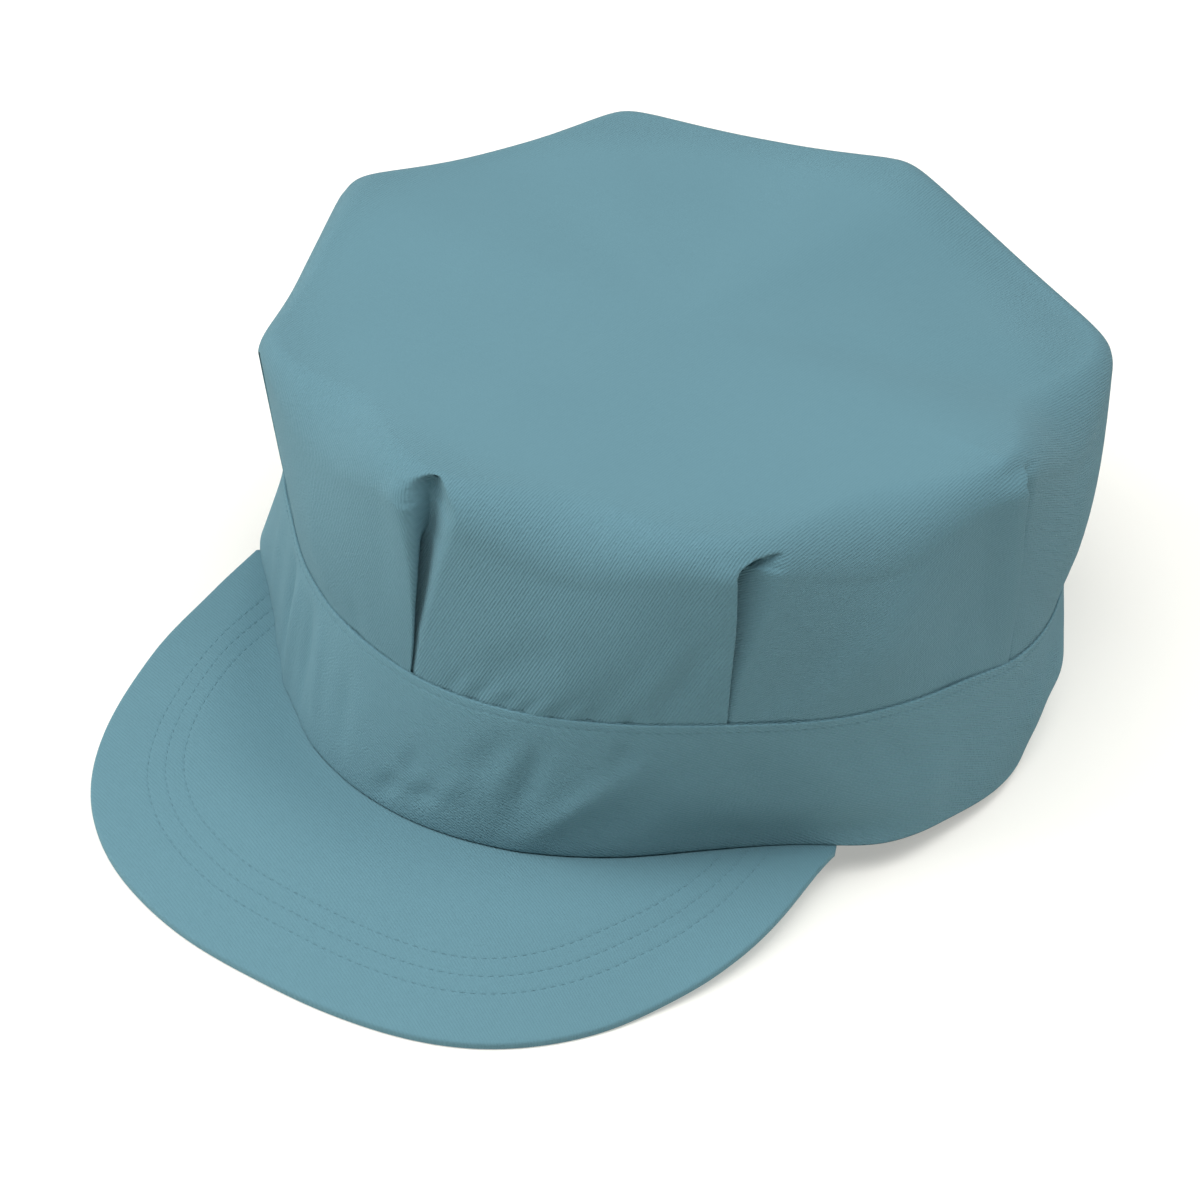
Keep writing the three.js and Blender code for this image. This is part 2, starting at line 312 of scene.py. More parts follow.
def threadFinish():
    finish = Finish("sewingThread")
    place = finish.node("ShaderNodeTexCoord", None, None, "Object")
    turns = finish.dot(place, sewingThread["twist"])
    ply = finish.node("ShaderNodeMath", {"operation": "SINE"}, {0: turns})
    # Painted shade: the colour goes dark where the ply's bump is low, in the grooves of the twist
    colour = finish.mixed(ply * 0.5 + 0.5, sewingThread["dark"], sewingThread["light"])
    bump = finish.node("ShaderNodeBump", None, {
        "Strength": sewingThread["strength"], "Distance": sewingThread["depth"], "Height": ply})
    return finish.closed(finish.node("ShaderNodeBsdfPrincipled", None, {
        "Base Color": colour, "Roughness": sewingThread["roughness"],
        "Specular IOR Level": sewingThread["shine"], "Normal": bump}))


# One cloth in lit and shaded copies: the tones are painted light, the band lighter and the crown darker than
# the peak
crownTwill = twillFinish("crownTwill", lean=90, contrast=0.95, paintedLightTone=0.975, pressedTop=True)
bandTwill = twillFinish("bandTwill", lean=-22, contrast=1.15, paintedLightTone=1.1)
peakTwill = twillFinish("peakTwill", lean=158, contrast=0.45, paintedLightTone=1.01)
thread = threadFinish()


# Band: up runs from 0 at the rim round the head to 1 at the seam with the crown
bandForm = {
    "rimHalfWidth": 90.5, "rimHalfDepth": 95.5, "rimSquash": -2.5, "rimLobe": 5,
    "rimRise": 14, "rimFlatFrom": 125,
    "seamHalfWidth": 87.5, "seamHalfDepth": 95.5, "seamSlide": 5, "height": 37.5,
    "seamFrontLift": 1.5, "seamSideLift": 0.5,
    "cloth": 0.7, "columns": 720, "foldsFade": (0.78, 0.96),
    "stitchDrop": 2.1, "groove": 0.14, "grooveWidth": 0.32,
    "faceRows": 34, "backRows": 12, "grooveRows": (-.9, -.5, -.25, 0, .25, .5, .9),
    "seamThread": (1.006, 0.32),          # up and inset of the stitches in the seam
    # the inner band: up from and to, inset and thickness, and up and inset of its stitches
    "sweatSection": (0.012, 0.8, 1.0, 0.9), "sweatColumns": 360, "sweatThread": (0.77, 1.9),
    # angle, out, across
    "rimBends": [(-71, 5.5, 10), (-48, -2, 11), (70, 3, 9), (115, -4.5, 26)],
    "shape": tableOf("angle rimOut seamLift seamOut", [
        (-180, 0, 0, 0), (-130, 0, 0, 0), (-100, 0, -1, 0), (-75, -1, -1.8, .3), (-60, 1.2, -2.1, .4),
        (-45, .1, -2, -2.2), (-30, -1.3, -1.3, -1.5), (-15, .2, -.6, -.4), (0, .5, -1.2, -.7),
        (15, .1, .8, -.3), (30, -.7, 2.7, -.5), (45, -2, 3.6, -.6), (60, -.8, 2.8, 0),
        (72, 1.6, 2.5, .1), (84, 2.6, 1.8, .1), (96, 2, -2, .3), (108, -2, -3.8, .6),
        (120, -2, -3.6, .4), (150, -.5, -1, -.2)]),
    # angle, up, depth, length, width, slant of the length from level
    "folds": [
        (54, .15, -1.4, 24, 4.4, -2), (67, .14, -1.1, 9, 4.4, 0), (18, .5, -1.4, 9, 3.2, 80),
        (12, .62, -.8, 8, 4, 60), (25.7, .38, 1.25, 13, 3.2, 46), (34, .36, -.8, 12, 5, 30),
        (-2, .16, -.8, 3.5, 2.6, 60), (4, .22, -.8, 4, 2.6, 30), (1, .4, -.55, 4.2, 2.6, 80),
        (7.5, .34, .5, 6, 2.6, 60), (-38, .5, -1.8, 16, 3.4, 95), (-32, .5, 1.4, 16, 3, 95),
        (-26, .5, -1.3, 14, 2.6, 100), (-21, .5, .9, 14, 2.6, 105), (-13, .5, -.6, 12, 3, 100),
        (-50, .5, 1.2, 15, 5, 85), (31, .78, -.7, 6, 3, 80), (48, .7, -.6, 14, 4, -38),
        (60, .6, .8, 14, 5, -42), (42, .5, .7, 9, 5, 10), (44, .78, .5, 10, 4, -30),
        (70, .7, -.6, 9, 3.4, -50), (78, .3, .8, 10, 6, 90), (104, .3, 2.2, 9, 12, 0),
        (112, .44, 1.9, 8, 9, 0), (118, .45, 2.6, 24, 12, 0), (-125, .4, -1.1, 13, 9, 80)],
}


def outward(angle):
    x = bandForm["rimHalfDepth"] * sinOf(angle)
    y = -bandForm["rimHalfWidth"] * cosOf(angle)
    return pointAt(x, y, 0) / np.hypot(x, y)[..., None]


def rimHeight(angle):
    return bandForm["rimRise"] * eased(cosOf(angle), cosOf(bandForm["rimFlatFrom"]), 1)


def rimPoint(angle):
    out = bandForm["rimSquash"] * cosOf(2 * angle) + bandForm["rimLobe"] * cosOf(3 * angle)
    out = out + bumps(angle, bandForm["rimBends"]) + curveThrough(angle, bandForm["shape"], "rimOut")
    return pointAt((bandForm["rimHalfWidth"] + out) * sinOf(angle),
                   -(bandForm["rimHalfDepth"] + out) * cosOf(angle), rimHeight(angle))


def seamPoint(angle):
    lift = bandForm["seamFrontLift"] * cosOf(angle) + bandForm["seamSideLift"] * sinOf(angle)
    lift = lift + curveThrough(angle, bandForm["shape"], "seamLift")
    points = pointAt(bandForm["seamHalfWidth"] * sinOf(angle) + bandForm["seamSlide"],
                     -bandForm["seamHalfDepth"] * cosOf(angle),
                     rimHeight(angle) + bandForm["height"] + lift)
    return points + outward(angle) * curveThrough(angle, bandForm["shape"], "seamOut")[..., None]


def bandPoint(angle, up, inset):
    relief = foldRelief(angle, np.clip(up, 0, 1), bandForm["folds"], bandForm["height"])
    relief = relief * (1 - eased(up, *bandForm["foldsFade"]))
    return lerped(rimPoint(angle), seamPoint(angle), up) + outward(angle) * (relief - inset)[..., None]


# Up and inset all round a flat strip with rounded edges, with a groove at each stitch line
def edgedSection(low, high, inset, thickness, stitchHeights=()):
    tall, radius = bandForm["height"], thickness / 2
    bottom, top = low * tall + radius, high * tall - radius
    heights = list(np.linspace(bottom, top, bandForm["faceRows"]))
    for middle in stitchHeights:
        heights += [middle + step for step in bandForm["grooveRows"]]
    section = []
    for height in sorted(heights):
        groove = sum(bandForm["groove"] * math.exp(-((height - middle) / bandForm["grooveWidth"]) ** 2)
                     for middle in stitchHeights)
        section.append((height / tall, inset + groove))
    for turn in np.radians(range(30, 180, 30)):                   # the upper edge
        section.append(((top + radius * math.sin(turn)) / tall, inset + radius - radius * math.cos(turn)))
    for height in np.linspace(top, bottom, bandForm["backRows"]):
        section.append((height / tall, inset + thickness))
    for turn in np.radians(range(-150, 0, 30)):                   # the lower edge
        section.append(((bottom + radius * math.sin(turn)) / tall, inset + radius - radius * math.cos(turn)))
    return section


def ringPiece(name, section, columns):
    angle = np.arange(columns) * 360 / columns
    points = np.array([bandPoint(angle, up, inset) for up, inset in section])
    quads = gridQuads(len(section), columns, closeRows=True, closeColumns=True)
    ups, insets = np.array(section).T
    cloth = ups * bandForm["height"] - np.cumsum(np.concatenate([[0], np.abs(np.diff(insets))]))
    around = np.radians(np.arange(columns + 1) * 360 / columns) * clothRadius
    flat = np.stack(np.meshgrid(around, np.append(cloth, cloth[0])), -1)
    cloth = quadPlaces(flat[:, :-1], flat[:, 1:])
    return makePiece(name, points.reshape(-1, 3), quads.tolist(), bandTwill, cloth)


def makeBand():
    tall, around = bandForm["height"], np.linspace(0, 360, 1440)
    stitchHeight = tall - bandForm["stitchDrop"]
    section = edgedSection(0, 1, 0, bandForm["cloth"], (stitchHeight,))
    outer = ringPiece("bandCloth", section, bandForm["columns"])
    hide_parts("band")
    ringPiece("sweatBand", edgedSection(*bandForm["sweatSection"]), bandForm["sweatColumns"])
    edgeRun = bandPoint(around, stitchHeight / tall, bandForm["groove"] * stitchLook["sink"])
    runs = [(edgeRun, outward(around)),
            (bandPoint(around, *bandForm["seamThread"]), outward(around)),
            (bandPoint(around, *bandForm["sweatThread"]), -outward(around))]
    makeStitches("bandStitches", runs, thread)


# Crown: levels run from 0 at the seam over 1, where the wall starts to roll over, and 2,
# where the flat top starts, to 3 in the middle of the top. A pleat hangs below each corner.
crownForm = {
    "cornerHalfWidth": 93.5, "cornerHalfDepth": 101, "cornerShift": 3, "cornerHeight": 92,
    "topSlope": -0.12, "topSideSlope": 0.03, "topDome": 1,
    "edgeHollow": 2.2, "cornerSoftness": .12, "edgeSag": .9,
    "panelBulge": 2.2, "leanCurve": 1.1, "foot": .5, "hemInset": .95, "hem": 7, "lining": 1.2,
    "panels": 8, "wallRows": 50, "rollRows": 32, "topRows": 20, "topHole": 0.02,
    "panelColumns": (44, 14, 14, 14, 14, 14, 14, 30),
    "corners": tableOf("angle out lift belly footSlide sideDrawIn roll sideRoll", [
        (0, -1, 2, 0, -3.5, 2.6, 7.5, 14),
        (45, 0, .5, 0, 0, 2.6, 7.5, 14),
        (90, -2.2, 1.6, -1.2, 4.5, 3, 6.5, 17),
        (135, 4.6, -5.8, 2.7, 3, 5.5, 5.7, 6),
        (180, -5.7, 6.4, 1.5, 0, 8.6, 7, 5),
        (225, 1.1, 2.2, 1, 0, 9.7, 6.7, 5),
        (270, 0, 1.1, .5, 0, 6.8, 7, 5),
        (315, -1.8, -2.1, .2, 0, 2.6, 4.6, 14)]),
    # angle, level from, level to, height, width
    "ridges": [(90, 1.45, 2.34, 1.0, 5)], "ridgeRound": .6, "ridgePeak": .4,
    # angle, level, depth, length, width, slant
    "puckers": [
        (7.5, .07, -.3, 4, 1.2, 62), (9.5, .08, .3, 5, 1.2, 60), (11.6, .07, -.35, 4, 1.1, 58),
        (13.6, .08, .3, 5, 1.2, 58), (15.8, .07, -.35, 4, 1.1, 56), (18.3, .05, -.55, 3.2, 1.3, 56),
        (20.4, .08, .35, 5, 1.3, 58), (22.6, .07, -.3, 4, 1.2, 60), (24.8, .08, .3, 5, 1.3, 62),
        (27.2, .07, -.3, 4, 1.2, 66), (31.4, .04, -.5, 2.6, 1.4, 80), (34, .10, .3, 6, 1.8, 90),
        (52, .14, -.3, 7, 3, 95), (-12, .12, -.4, 7, 2.4, 100), (16, .34, -.7, 13, 5, 48),
        (24, .26, .5, 14, 5, 50), (-20, .2, .3, 9, 4, 100), (34, .3, .5, 12, 3, 62),
        (38, .3, -.5, 12, 3, 62), (56, .42, -.7, 15, 5, 55), (66, .5, .5, 15, 6, 60),
        (78, .3, -.6, 14, 4, 80)],
    "puckerHeight": 42,                   # the wall's height, which their levels are shares of
}
panelStep = 360 / crownForm["panels"]


def fromPleat(angle):
    return angle - panelStep * np.round(np.asarray(angle, float) / panelStep)


def edgeShare(angle):                     # 0 at a corner, 1 in the middle of a side
    away = np.abs(fromPleat(angle)) / (panelStep / 2)
    soft = crownForm["cornerSoftness"]
    return (np.hypot(away, soft) - soft) / (math.hypot(1, soft) - soft)


def cornerValue(angle, column):           # eased from each corner to the next
    values = crownForm["corners"][column]
    place = np.mod(angle, 360) / panelStep
    first = np.floor(place).astype(int) % crownForm["panels"]
    return between(values[first], values[(first + 1) % crownForm["panels"]],
                   eased(place - np.floor(place), 0, 1))


def sideValue(angle, column):             # one value for the side that follows each corner
    sides = np.floor(np.mod(angle, 360) * crownForm["panels"] / 360).astype(int) % crownForm["panels"]
    return crownForm["corners"][column][sides]


def edgePoint(angle):
    share = edgeShare(angle)
    drawIn = sideValue(angle, "sideDrawIn") * (1 - (1 - share) ** crownForm["edgeHollow"])
    out = cornerValue(angle, "out") - drawIn
    base = pointAt(crownForm["cornerHalfWidth"] * sinOf(angle),
                   -crownForm["cornerHalfDepth"] * cosOf(angle) + crownForm["cornerShift"], 0)
    points = base + outward(angle) * out[..., None]
    points[..., 2] = (crownForm["cornerHeight"] + crownForm["topSlope"] * points[..., 1]
                      + crownForm["topSideSlope"] * points[..., 0] + cornerValue(angle, "lift")
                      - crownForm["edgeSag"] * eased(share, 0, 1))
    return points


def rollRadius(angle):
    return between(cornerValue(angle, "roll"), sideValue(angle, "sideRoll"), eased(edgeShare(angle), 0, 1))


def ridgeOver(angle, level):
    total = np.zeros(np.broadcast(angle, level).shape)
    for corner, low, high, height, width in crownForm["ridges"]:
        aside = np.hypot(np.radians(turned(angle - corner)) * clothRadius, crownForm["ridgeRound"])
        middle = between(low, high, crownForm["ridgePeak"])
        along = eased(level, low, middle) * (1 - eased(level, middle, high))
        total = total + height * np.exp(-aside / width) * along
    return total


# The wall, with the rise from 0 at the seam to 1, and down to -1 for the hem behind the band
def crownWall(angle, rise, deep):
    hem = rise < 0
    inset = np.where(hem, crownForm["hemInset"], crownForm["foot"])
    up = np.where(hem, 1 + rise * crownForm["hem"] / bandForm["height"], 1)
    rise = np.clip(rise, 0, 1)
    foot = bandPoint(angle + cornerValue(angle, "footSlide") * (1 - rise), up, inset + deep)
    top = edgePoint(angle) - outward(angle) * deep[..., None]
    points = lerped(foot, top, rise ** crownForm["leanCurve"])
    wallTop = top[..., 2] - rollRadius(angle)
    points[..., 2] = np.where(hem, foot[..., 2], between(foot[..., 2], wallTop, rise))
    bulge = (crownForm["panelBulge"] * edgeShare(angle) + cornerValue(angle, "belly")) * np.sin(np.pi * rise)
    bulge = bulge + foldRelief(angle, rise, crownForm["puckers"], crownForm["puckerHeight"])
    return points + outward(angle) * bulge[..., None]


# The rounding between wall and top, with the turn from 0 at the wall to 90 at the top
def crownRoll(angle, turn, deep):
    full = rollRadius(angle)
    radius = full - deep
    points = edgePoint(angle) + outward(angle) * (radius * cosOf(turn) - full)[..., None]
    points[..., 2] += radius * sinOf(turn) - full + ridgeOver(angle, 1 + turn / 90)
    return points


def topTilt(points):
    return crownForm["topSlope"] * points[..., 1] + crownForm["topSideSlope"] * points[..., 0]


# The top, with the share of the way from its middle to its rim
def crownTop(angle, share, deep):
    rim = crownRoll(angle, np.full(angle.shape, 90.0), deep)
    middle = np.broadcast_to(pointAt(0, crownForm["cornerShift"], 0), rim.shape)
    points = lerped(middle, rim, share)
    middleHeight = crownForm["cornerHeight"] + crownForm["topDome"] - deep
    rimAbove = rim[..., 2] - topTilt(rim) - ridgeOver(angle, 2)
    points[..., 2] = (between(middleHeight, rimAbove, share ** 2) + topTilt(points)
                      + ridgeOver(angle, 3 - share))
    return points


crownParts = {"wall": crownWall, "roll": crownRoll, "top": crownTop}


def crownRow(angle, part, value, deep=0):
    return crownParts[part](angle, np.full(angle.shape, float(value)), np.full(angle.shape, float(deep)))


def levelOf(part, value):
    return {"wall": max(value, 0), "roll": 1 + value / 90, "top": 2 + (1 - value)}[part]


# Pleats: the panel before one comes over it as a fold with a rounded edge, the cloth turns
# back under itself, and the next panel comes out from below, with a gap that may stand open
foldForm = {
    "reach": 11.0,                        # how far the bent cloth goes to each side of the pleat
    "steps": {"over": 14, "edge": 11, "back": 3, "hidden": 7, "out": 24},
    "tightest": .3, "loosening": 1.3, "looseBy": 3, "openBy": 2, "slack": .01, "clearance": .03,
    "mostTurn": 184, "startBefore": 1, "fadeFrom": .05, "fadeTo": .4,
}
foldCount = sum(foldForm["steps"].values())
foldSplit = foldCount - foldForm["steps"]["out"] - (foldForm["steps"]["hidden"] + 1) // 2

pleatColumns = "level radius gap overlap crest lead emerge"
softPleat = tableOf(pleatColumns, [
    (0, .3, .9, 8, .1, .3, 3), (.28, .4, 1.4, 8, .4, 0, 3.6), (.42, .6, 2.4, 8, .7, -.1, 5),
    (.65, 1.4, 4.4, 5, .9, 0, 7), (.84, 2.6, 6.2, .5, 1, -.1, 9.6), (1.07, 4.2, 7.2, -2, .9, -1, 10.4),
    (1.3, 4.2, 6.8, -2.4, .6, -1.5, 9.8), (1.44, 3.8, 5.8, -2.2, .3, -1.3, 8.4),
    (1.56, 3.4, 4.6, -1.9, .15, -.8, 6.8), (1.66, 2.9, 3.2, -1.6, .05, -.2, 5.2),
    (1.75, 2.4, 1.7, -1.4, 0, .2, 4), (1.83, 2, .5, -1.6, 0, .4, 3.4), (1.9, 2, 0, -2, 0, .4, 3.4)])
hookedPleat = tableOf(pleatColumns, [
    (0, .25, .9, 8, .1, -1, 2.2), (.31, .3, 1.4, 8, .5, -.9, 3.4), (.65, .35, 3, 8, .8, -.5, 7),
    (.84, .4, 4.4, 7, .9, -.6, 9.8), (1, .45, 5.2, 4, .9, -.8, 11.4), (1.14, .6, 5.4, 1, .8, -.9, 11.6),
    (1.24, .9, 5.2, -.4, .6, -.4, 11.4), (1.31, 1.3, 4.6, -.9, .4, .5, 10.4),
    (1.36, 1.7, 3.8, -1.4, .3, 1.6, 9.4), (1.4, 2.1, 2.9, -1.9, .2, 2.8, 8),
    (1.44, 2.4, 1.7, -2.4, .1, 4, 6.8), (1.48, 2.6, .7, -2.8, .05, 5, 6),
    (1.53, 2.6, .15, -3, 0, 5.4, 5.4), (1.58, 2.6, 0, -3, 0, 5.4, 5)])
crispPleat = tableOf(pleatColumns, [
    (0, .25, .8, 8, .2, -1.7, 2.5), (.33, .4, 1.6, 8, 1.9, 1.7, 4), (.49, .5, 1.9, 8, 2.2, 1.9, 5),
    (.65, .5, 2, 8, 2.3, 2.3, 6), (.86, .5, 2, 6, 2.1, 1.2, 8), (1.1, .5, 1.8, 3, 1.7, .5, 9),
    (1.23, .5, 1.5, 1.8, 1.4, .6, 9), (1.33, .6, 1.1, .8, 1.1, 2.2, 8.6), (1.4, .8, .6, -.3, .7, 3, 8),
    (1.48, 1.4, .2, -1.2, .3, 3.2, 7.6), (1.56, 1.4, 0, -1.8, 0, 3.2, 7.4)])
plainPleat = tableOf(pleatColumns, [
    (0, .25, .8, 8, .1, .2, 2.5), (.4, .3, 1, 8, .5, .4, 3), (.8, .4, 1.2, 6, .6, .5, 4),
    (1, .6, 1.2, 3.5, .4, .5, 5), (1.2, .8, .7, 0, .2, .5, 5), (1.4, 1, .1, -2, 0, .5, 5),
    (1.5, 1, 0, -2.5, 0, .5, 5)])
closePleat = tableOf(pleatColumns, [
    (0, .25, .8, 8, .1, .2, 2.5), (.4, .25, .8, 8, .2, .2, 3), (.8, .3, .6, 5, .2, .2, 4),
    (.98, .4, .3, 1.6, .15, .2, 5), (1.08, .6, .04, -.6, .05, .2, 5), (1.16, .8, 0, -2, 0, .2, 5)])
pleats = [softPleat, hookedPleat, crispPleat, closePleat, plainPleat, plainPleat, plainPleat, closePleat]


# Where the columns of a fold lie at these levels, as lengths along the cap and out from it
def pleatPath(level, table):
    radius, gap, overlap, crest, lead, emerge = [
        np.interp(level, table["level"], table[name]) for name in pleatColumns.split()[1:]]
    reach, steps = foldForm["reach"], foldForm["steps"]
    drop = crest + gap
    inner = foldForm["tightest"] + foldForm["loosening"] * eased(-overlap, 0, foldForm["looseBy"])
    inner = np.minimum(inner, drop / 4 + foldForm["slack"])
    room = np.maximum(drop / 2 - inner - foldForm["clearance"], foldForm["clearance"])
    radius = np.minimum(radius, between(room, radius, eased(-overlap, 0, foldForm["openBy"])))
    edgeAlong, edgeOut = lead - radius, crest - radius            # middle of the rounded edge
    tuckAlong, tuckOut = lead - overlap, inner - gap              # middle of the hidden fold
    away, fall = tuckAlong - edgeAlong, edgeOut - tuckOut
    bridge = np.clip((radius + inner) / np.hypot(away, fall), -1, 1)
    slope = np.clip(np.degrees(np.arctan2(fall, away) + np.arcsin(bridge)), 0, foldForm["mostTurn"])
    path = []
    for share in np.linspace(0, 1, steps["over"] + 1)[:-1]:       # the panel that comes over
        along = between(-reach, edgeAlong, share)
        path.append((along, crest * eased(along, -reach, edgeAlong)))
    for share in np.linspace(0, 1, steps["edge"]):                # its folded edge
        turn = 90 - slope * share
        path.append((edgeAlong + radius * cosOf(turn), edgeOut + radius * sinOf(turn)))
    start = (tuckAlong + inner * cosOf(270 - slope), tuckOut + inner * sinOf(270 - slope))
    last = path[-1]
    for share in np.linspace(0, 1, steps["back"] + 2)[1:-1]:      # back under it
        path.append((between(last[0], start[0], share), between(last[1], start[1], share)))
    for share in np.linspace(0, 1, steps["hidden"]):              # the hidden fold
        turn = 270 - slope * (1 - share)
        path.append((tuckAlong + inner * cosOf(turn), tuckOut + inner * sinOf(turn)))
    rising = np.maximum(lead - foldForm["startBefore"], tuckAlong)
    risen = np.minimum(rising + emerge, reach)
    for share in np.linspace(0, 1, steps["out"] + 1)[1:]:         # the next panel, coming out
        along = between(tuckAlong, reach, share)
        path.append((along, -gap * (1 - eased(along, rising, risen))))
    along, out = [np.stack(values, -1) for values in zip(*path)]
    even = np.broadcast_to(np.linspace(-reach, reach, foldCount), along.shape)
    end = table["level"][-1]
    gone = eased(level, end - foldForm["fadeFrom"], end + foldForm["fadeTo"])[:, None]
    return between(along, even, gone), out * (1 - gone)


# Angles of the plain columns between one pleat and the next
def plainAngles(panel):
    edge = math.degrees(foldForm["reach"] / clothRadius)
    return np.linspace(panel * panelStep + edge, (panel + 1) * panelStep - edge,
                       crownForm["panelColumns"][panel] + 2)[1:-1]


def crownGrid():
    rows = [("wall", value) for value in (-1, -.6, -.3)]
    rows += [("wall", value) for value in np.linspace(0, 1, crownForm["wallRows"])]
    rows += [("roll", value) for value in np.linspace(0, 90, crownForm["rollRows"] + 1)[1:]]
    rows += [("top", value) for value in np.linspace(1, crownForm["topHole"], crownForm["topRows"] + 1)[1:]]
    level = np.array([levelOf(part, value) for part, value in rows])
    angles, outs, panels = [], [], []
    for panel in range(crownForm["panels"]):
        along, out = pleatPath(level, pleats[panel])
        plain = plainAngles(panel)
        angles += [panel * panelStep + np.degrees(along / clothRadius),
                   np.broadcast_to(plain, (len(level), len(plain)))]
        outs += [out, np.zeros((len(level), len(plain)))]
        panels += [panel - 1] * foldSplit + [panel] * (foldCount - foldSplit + len(plain))
    angle, out = np.concatenate(angles, 1), np.concatenate(outs, 1)
    points = np.array([crownRow(angle[row], part, value) + outward(angle[row]) * out[row][:, None]
                       for row, (part, value) in enumerate(rows)])
    return {"points": points, "angle": angle, "level": level, "rows": rows, "panels": np.array(panels)}


flatForm = {
    # levels and distances from a pleat between which a panel's cloth turns with the top
    "turnLevels": (1.45, 2.05), "turnAside": (2, 16),
    "around": (-30, 390, 1681),           # first angle, last angle and count, with room past the front
}


# The crown without its pleats: x, y, the way down from the top's rim, and that rim's x and y
def bareCrown(rows):
    around = np.linspace(*flatForm["around"])
    points = np.array([crownRow(around, part, value) for part, value in rows])
    rim = sum(part != "top" for part, value in rows) - 1
    steps = np.linalg.norm(np.diff(points, axis=0), axis=2)
    down = np.zeros(points.shape[:2])
    down[:rim] = np.cumsum(steps[:rim][::-1], 0)[::-1]
    onTop = (np.arange(len(rows)) > rim)[:, None, None]
    rims = np.where(onTop, points, points[rim])
    return around, (points[..., 0], points[..., 1], down, rims[..., 0], rims[..., 1])


# Where points at these angles lie on the flat cloth: each panel hangs straight down from the top
def flatPlaces(angle, grid, around, tables):
    x, y, down, rimX, rimY = [
        np.array([np.interp(angle[row], around, table[row]) for row in range(len(angle))])
        for table in tables]
    middle = (grid["panels"][None, :] + .5) * panelStep
    free = 1 - eased(np.abs(fromPleat(angle)), *flatForm["turnAside"])
    free = eased(grid["level"], *flatForm["turnLevels"])[:, None] * free
    way = middle + turned(angle - middle) * free
    aside = (x - rimX) * cosOf(way) + (y - rimY) * sinOf(way)
    return np.stack([rimX + down * sinOf(way) + aside * cosOf(way),
                     rimY - down * cosOf(way) + aside * sinOf(way)], -1)


liningForm = {
    "topRows": 9, "rollRows": 9, "wallRows": 18, "hemRows": (-.4, -1),
    # the lining steps in behind a pleat: middle and width of the step, share of the gap, and more below
    "stepMiddle": -2, "stepWidth": 6.5, "stepShare": 1.3, "stepMore": .8, "stepLevels": (1.4, 2.1),
}


# The inside of the cloth, from the middle of the top down to the hem
def crownLining():
    look = liningForm
    rows = [("top", value) for value in np.linspace(crownForm["topHole"], 1, look["topRows"])[:-1]]
    rows += [("roll", value) for value in np.linspace(90, 0, look["rollRows"])]
    rows += [("wall", value) for value in np.linspace(1, 0, look["wallRows"])[1:]]
    rows += [("wall", value) for value in look["hemRows"]]
    even = np.linspace(-foldForm["reach"], foldForm["reach"], foldCount)
    bump = np.exp(-((even - look["stepMiddle"]) / look["stepWidth"]) ** 2)
    angles, bends = [], []
    for panel in range(crownForm["panels"]):
        plain = plainAngles(panel)
        angles += [panel * panelStep + np.degrees(even / clothRadius), plain]
        bends += [bump, np.zeros(len(plain))]
    angle, bend = np.concatenate(angles), np.concatenate(bends)
    nearest = np.round(angle / panelStep).astype(int) % crownForm["panels"]
    lines = []
    for part, value in rows:
        level = levelOf(part, value)
        gaps = np.array([np.interp(level, table["level"], table["gap"]) for table in pleats])
        more = look["stepMore"] * (1 - eased(level, *look["stepLevels"]))
        stepIn = (gaps[nearest] * look["stepShare"] + more) * bend
        if part == "top" or value < 0:
            stepIn = np.zeros(angle.shape)
        line = crownRow(angle, part, value, crownForm["lining"])
        lines.append(line - outward(angle) * stepIn[..., None])
    return np.array(lines)


def makeCrown():
    grid, lining = crownGrid(), crownLining()
    points, inside = grid["points"], lining[..., :2]
    rows, columns = points.shape[:2]
    here = np.arange(columns)
    beside = np.roll(here, -1)
    liningFrom = rows * columns
    hemFrom = liningFrom + (len(lining) - 1) * columns
    faces = np.concatenate([gridQuads(rows, columns, closeColumns=True),
                            gridQuads(len(lining), columns, closeColumns=True) + liningFrom,
                            np.stack([here + hemFrom, beside + hemFrom, beside, here], -1)]).tolist()
    faces.append((here + (rows - 1) * columns).tolist())
    faces.append((here + liningFrom)[::-1].tolist())
    around, tables = bareCrown(grid["rows"])
    outside = quadPlaces(flatPlaces(grid["angle"], grid, around, tables),
                         flatPlaces(grid["angle"][:, beside], grid, around, tables))
    cloth = np.concatenate([outside, quadPlaces(inside, inside[:, beside]),
                            np.repeat(points[0, :, :2], 4, 0), points[-1, :, :2], inside[0, ::-1]])
    everything = np.concatenate([points.reshape(-1, 3), lining.reshape(-1, 3)])
    piece = makePiece("crownCloth", everything, faces, crownTwill, cloth)
    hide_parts("crown")


